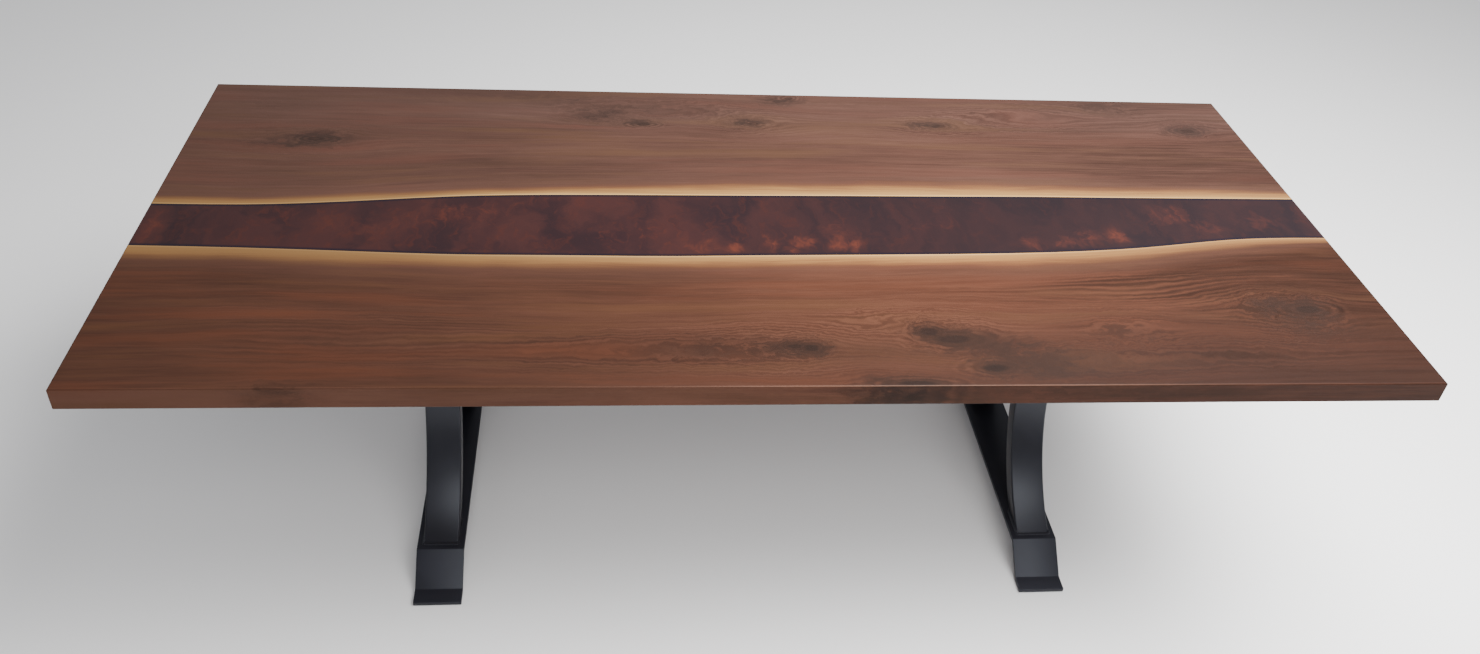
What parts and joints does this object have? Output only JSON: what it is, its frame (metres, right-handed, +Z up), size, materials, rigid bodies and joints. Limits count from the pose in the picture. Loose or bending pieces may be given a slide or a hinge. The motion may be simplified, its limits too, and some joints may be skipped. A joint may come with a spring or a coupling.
{
  "type": "live edge dining table",
  "caption": "Long rectangular walnut table top with inward live edges and a dark resin river, on hourglass legs of bent black steel tube with low bridge feet.",
  "frame": {"origin": "on the floor, under the middle of the table top", "axes": "+X along the table's length and the river, +Y across it towards the wider slab, +Z up"},
  "size_m": [2.438, 1.067, 0.762],
  "materials": {
    "walnut": "satin hardwax oil",
    "resin": "polished translucent resin",
    "leg_steel": "smooth semi-gloss black",
    "channel_steel": "satin black",
    "fasteners": "zinc plated",
    "pads": "matt"
  },
  "bodies": {
    "root": {"slab_front": "walnut", "slab_rear": "walnut", "epoxy_river": "resin", "stiffening_channel": "channel_steel", "channel_screws": "fasteners", "top_plate_left": "leg_steel", "foot_strap_left": "leg_steel", "waist_block_left": "leg_steel", "bow_front_left": "leg_steel", "bow_rear_left": "leg_steel", "foot_pad_front_left": "pads", "foot_pad_rear_left": "pads", "leg_screws_left": "fasteners", "leg_washers_left": "fasteners", "top_plate_right": "leg_steel", "foot_strap_right": "leg_steel", "waist_block_right": "leg_steel", "bow_front_right": "leg_steel", "bow_rear_right": "leg_steel", "foot_pad_front_right": "pads", "foot_pad_rear_right": "pads", "leg_screws_right": "fasteners", "leg_washers_right": "fasteners"}
  },
  "joints": []
}
